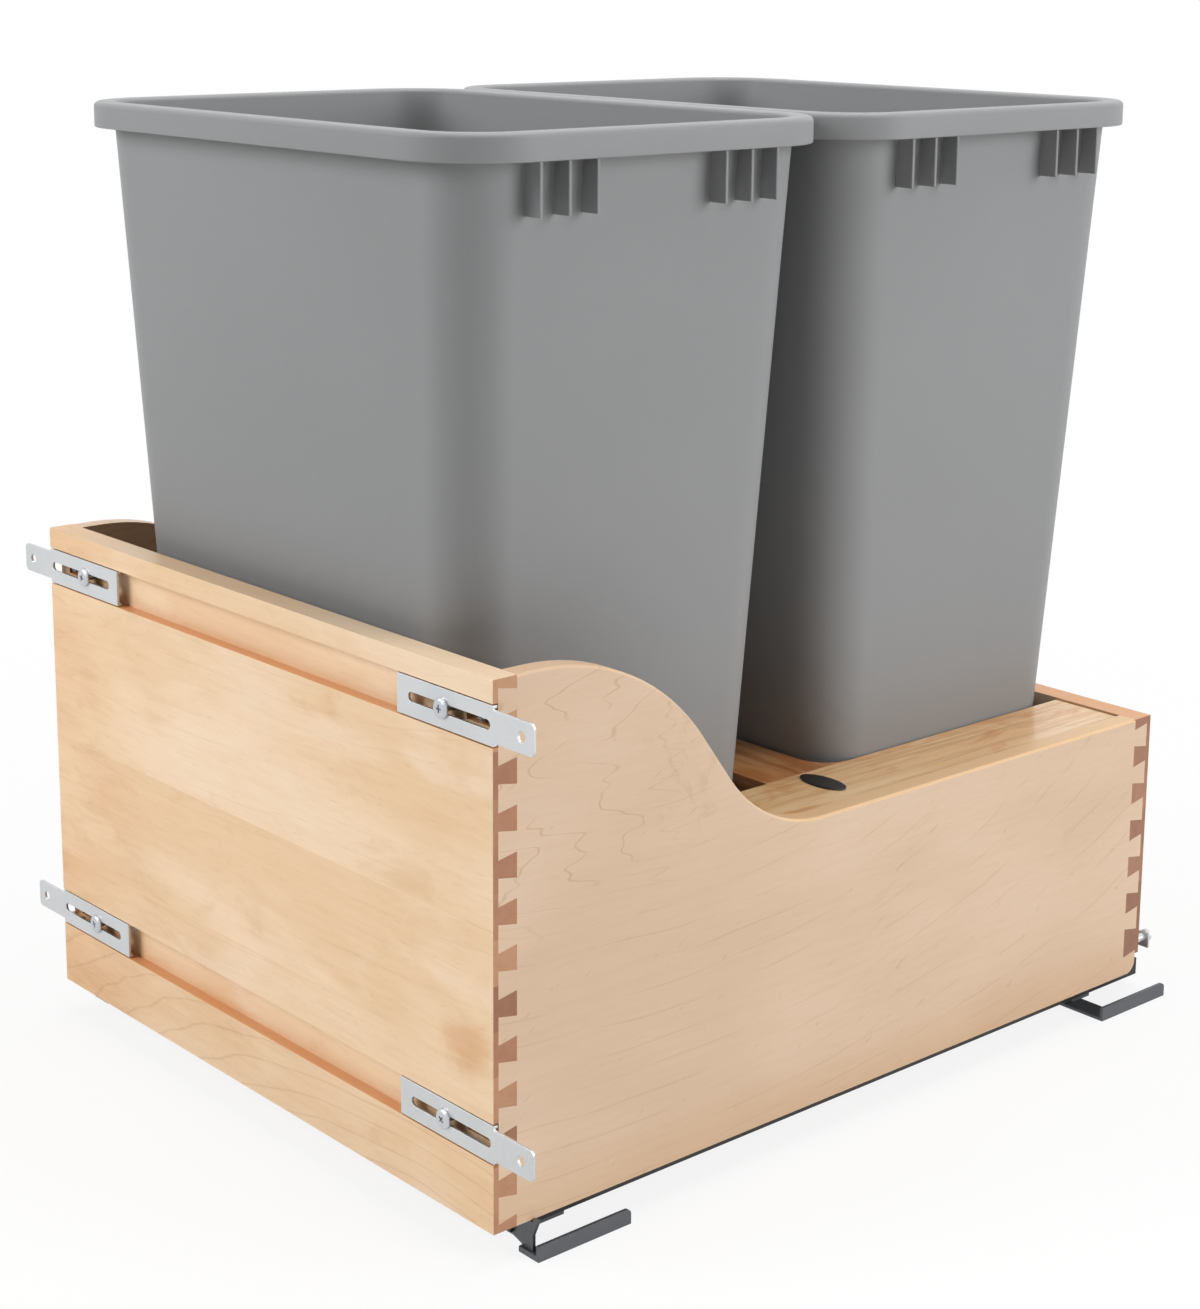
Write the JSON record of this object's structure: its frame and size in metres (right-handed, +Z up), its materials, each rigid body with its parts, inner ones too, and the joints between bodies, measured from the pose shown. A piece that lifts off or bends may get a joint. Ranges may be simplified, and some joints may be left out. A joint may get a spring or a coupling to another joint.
{
  "type": "pull-out bin frame",
  "caption": "Dovetailed wooden pull-out drawer on floor-mounted telescopic slides, with lift-out waste bins and adjustable door brackets.",
  "frame": {"origin": "on the cabinet floor, under the middle of the whole part's outline", "axes": "+X to the right of someone who faces the drawer front, -Y the way the drawer pulls out, +Z up"},
  "size_m": [0.5124, 0.5758, 0.5963],
  "materials": {
    "maple": "satin clear lacquer",
    "deck_maple": "satin clear lacquer",
    "blank_plate": "gloss black",
    "bin_plastic": "fine matte",
    "zinc_sheet": "zinc plated",
    "rail_steel": "zinc plated",
    "foot_steel": "dark grey satin",
    "roller_steel": "ground",
    "cage_plastic": "natural",
    "clip_plastic": "matte grey",
    "housing_plastic": "matte dark grey",
    "damper_steel": "drawn",
    "screw_steel": "zinc plated",
    "dark_screw": "dark zinc"
  },
  "bodies": {
    "floor_base": {"left_cabinet_rail": "rail_steel", "left_front_foot": "foot_steel", "left_rear_foot": "foot_steel", "left_soft_close_housing": "housing_plastic", "left_soft_close_catch": "housing_plastic", "left_soft_close_damper": "damper_steel", "right_cabinet_rail": "rail_steel", "right_front_foot": "foot_steel", "right_rear_foot": "foot_steel", "right_soft_close_housing": "housing_plastic", "right_soft_close_catch": "housing_plastic", "right_soft_close_damper": "damper_steel"},
    "drawer": {"front_panel": "maple", "back_panel": "maple", "left_side_panel": "maple", "right_side_panel": "maple", "bottom_panel": "maple", "left_deck_strip": "deck_maple", "right_deck_strip": "deck_maple", "deck_cross_bar": "deck_maple", "deck_front_bar": "deck_maple", "left_deck_cleat": "maple", "right_deck_cleat": "maple", "badge_plate": "blank_plate", "left_drawer_rail": "rail_steel", "right_drawer_rail": "rail_steel", "left_locking_clip": "clip_plastic", "right_locking_clip": "clip_plastic", "clip_screws": "screw_steel", "bracket_clamp_screws": "screw_steel", "bracket_adjusting_screws": "dark_screw", "bracket_adjuster_lugs": "screw_steel"},
    "left_middle_slide": {"left_middle_rail": "rail_steel"},
    "left_lower_roller_set": {"left_lower_carriage": "cage_plastic", "left_lower_rollers": "roller_steel"},
    "left_upper_roller_set": {"left_upper_carriage": "cage_plastic", "left_upper_rollers": "roller_steel"},
    "right_middle_slide": {"right_middle_rail": "rail_steel"},
    "right_lower_roller_set": {"right_lower_carriage": "cage_plastic", "right_lower_rollers": "roller_steel"},
    "right_upper_roller_set": {"right_upper_carriage": "cage_plastic", "right_upper_rollers": "roller_steel"},
    "left_lower_bracket": {"left_lower_door_bracket": "zinc_sheet"},
    "right_lower_bracket": {"right_lower_door_bracket": "zinc_sheet"},
    "left_upper_bracket": {"left_upper_door_bracket": "zinc_sheet"},
    "right_upper_bracket": {"right_upper_door_bracket": "zinc_sheet"},
    "left_lever": {"left_release_lever": "clip_plastic"},
    "right_lever": {"right_release_lever": "clip_plastic"},
    "front_bin_body": {"front_bin": "bin_plastic"},
    "rear_bin_body": {"rear_bin": "bin_plastic"}
  },
  "joints": [
    {"name": "drawer_slide", "type": "slide", "parent": "floor_base", "child": "drawer", "axis": [0, -1, 0], "range_m": [0, 0.525]},
    {"name": "left_middle_rail_slide", "type": "slide", "parent": "floor_base", "child": "left_middle_slide", "axis": [0, -1, 0], "range_m": [0, 0.2625]},
    {"name": "left_lower_carriage_slide", "type": "slide", "parent": "floor_base", "child": "left_lower_roller_set", "axis": [0, -1, 0], "range_m": [0, 0.13125]},
    {"name": "left_upper_carriage_slide", "type": "slide", "parent": "floor_base", "child": "left_upper_roller_set", "axis": [0, -1, 0], "range_m": [0, 0.39375]},
    {"name": "right_middle_rail_slide", "type": "slide", "parent": "floor_base", "child": "right_middle_slide", "axis": [0, -1, 0], "range_m": [0, 0.2625]},
    {"name": "right_lower_carriage_slide", "type": "slide", "parent": "floor_base", "child": "right_lower_roller_set", "axis": [0, -1, 0], "range_m": [0, 0.13125]},
    {"name": "right_upper_carriage_slide", "type": "slide", "parent": "floor_base", "child": "right_upper_roller_set", "axis": [0, -1, 0], "range_m": [0, 0.39375]},
    {"name": "left_lower_bracket_adjust", "type": "slide", "parent": "drawer", "child": "left_lower_bracket", "axis": [-1, 0, 0], "range_m": [-0.037, 0.026]},
    {"name": "right_lower_bracket_adjust", "type": "slide", "parent": "drawer", "child": "right_lower_bracket", "axis": [1, 0, 0], "range_m": [-0.037, 0.026]},
    {"name": "left_upper_bracket_adjust", "type": "slide", "parent": "drawer", "child": "left_upper_bracket", "axis": [-1, 0, 0], "range_m": [-0.037, 0.026]},
    {"name": "right_upper_bracket_adjust", "type": "slide", "parent": "drawer", "child": "right_upper_bracket", "axis": [1, 0, 0], "range_m": [-0.037, 0.026]},
    {"name": "left_lever_pivot", "type": "hinge", "parent": "drawer", "child": "left_lever", "pos_m": [-0.15985, -0.21368, 0.028], "axis": [0, 0, 1], "range_deg": [0, 12], "stiffness_Nm_per_rad": 0.2},
    {"name": "right_lever_pivot", "type": "hinge", "parent": "drawer", "child": "right_lever", "pos_m": [0.15985, -0.21368, 0.028], "axis": [0, 0, -1], "range_deg": [0, 12], "stiffness_Nm_per_rad": 0.2},
    {"name": "front_bin_lift", "type": "slide", "parent": "drawer", "child": "front_bin_body", "axis": [0, 0, 1], "range_m": [0, 0.6]},
    {"name": "rear_bin_lift", "type": "slide", "parent": "drawer", "child": "rear_bin_body", "axis": [0, 0, 1], "range_m": [0, 0.6]}
  ],
  "couplings": [
    {"joint": "left_middle_rail_slide", "follows": "drawer_slide", "ratio": 0.5},
    {"joint": "left_lower_carriage_slide", "follows": "drawer_slide", "ratio": 0.25},
    {"joint": "left_upper_carriage_slide", "follows": "drawer_slide", "ratio": 0.75},
    {"joint": "right_middle_rail_slide", "follows": "drawer_slide", "ratio": 0.5},
    {"joint": "right_lower_carriage_slide", "follows": "drawer_slide", "ratio": 0.25},
    {"joint": "right_upper_carriage_slide", "follows": "drawer_slide", "ratio": 0.75}
  ]
}
